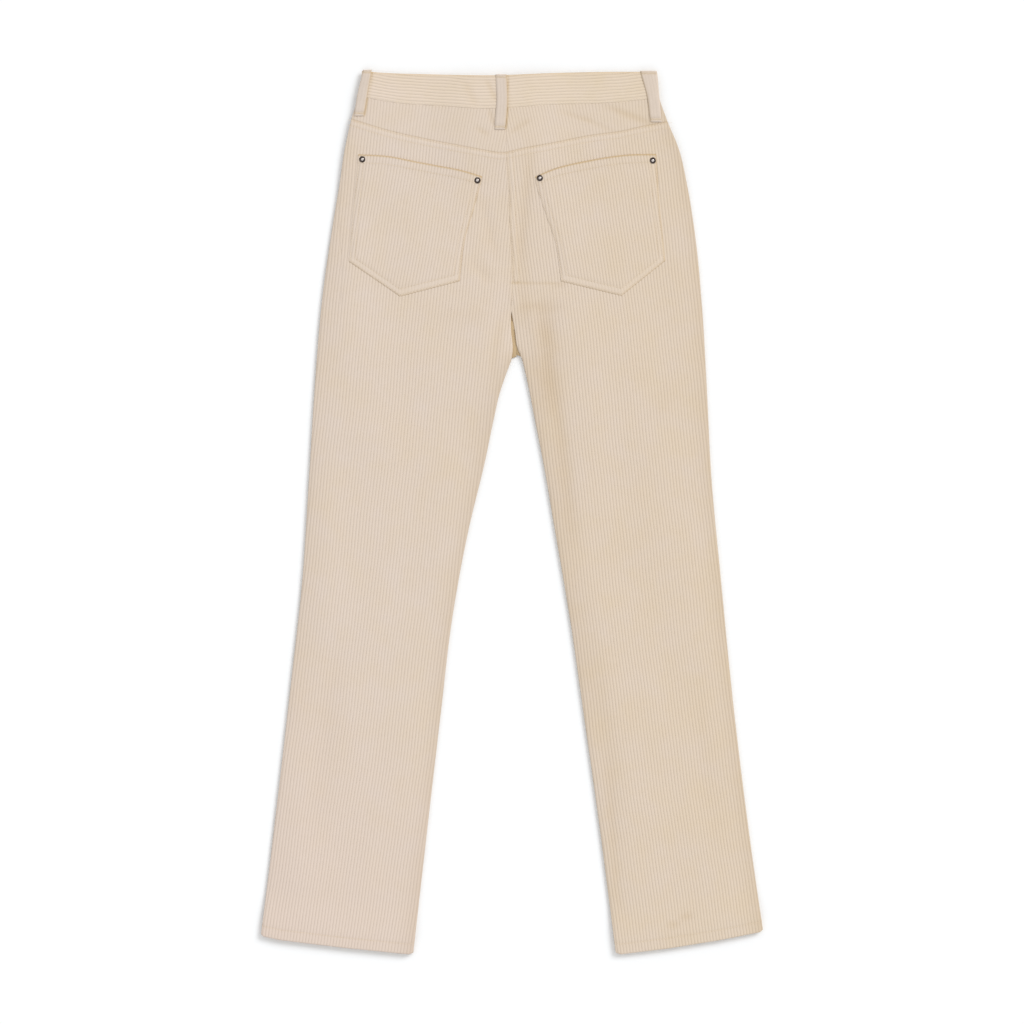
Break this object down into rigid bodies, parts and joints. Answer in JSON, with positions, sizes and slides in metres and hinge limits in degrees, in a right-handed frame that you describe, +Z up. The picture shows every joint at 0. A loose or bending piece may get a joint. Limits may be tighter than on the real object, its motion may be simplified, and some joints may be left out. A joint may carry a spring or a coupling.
{
  "type": "corduroy trousers",
  "caption": "Cream wide-wale corduroy trousers of a five-pocket cut with a straight leg, laid flat with the back upwards.",
  "frame": {"origin": "centre of the garment's footprint, on the surface it lies on", "axes": "+Y towards the waist, +X towards the wearer's right leg, +Z up out of the back of the garment"},
  "size_m": [0.5871, 1.0345, 0.0127],
  "materials": {
    "corduroy": "cream cotton corduroy with wide, soft wales and yellower grooves",
    "corduroy_trim": "the same corduroy, doubled, on waistband and belt loops",
    "rivet_metal": "dark gunmetal, polished on the raised centre"
  },
  "bodies": {
    "root": {"back_left": "corduroy", "back_right": "corduroy", "front_left": "corduroy", "front_right": "corduroy", "yoke_left": "corduroy", "yoke_right": "corduroy", "pocket_left": "corduroy", "pocket_right": "corduroy", "waistband_back": "corduroy_trim", "waistband_front_left": "corduroy_trim", "waistband_front_right": "corduroy_trim", "belt_loop_center": "corduroy_trim", "belt_loop_side_left": "corduroy_trim", "belt_loop_side_right": "corduroy_trim", "belt_loop_front_left": "corduroy_trim", "belt_loop_front_right": "corduroy_trim", "rivet_left_outer": "rivet_metal", "rivet_left_inner": "rivet_metal", "rivet_right_inner": "rivet_metal", "rivet_right_outer": "rivet_metal", "button": "rivet_metal"}
  },
  "joints": []
}
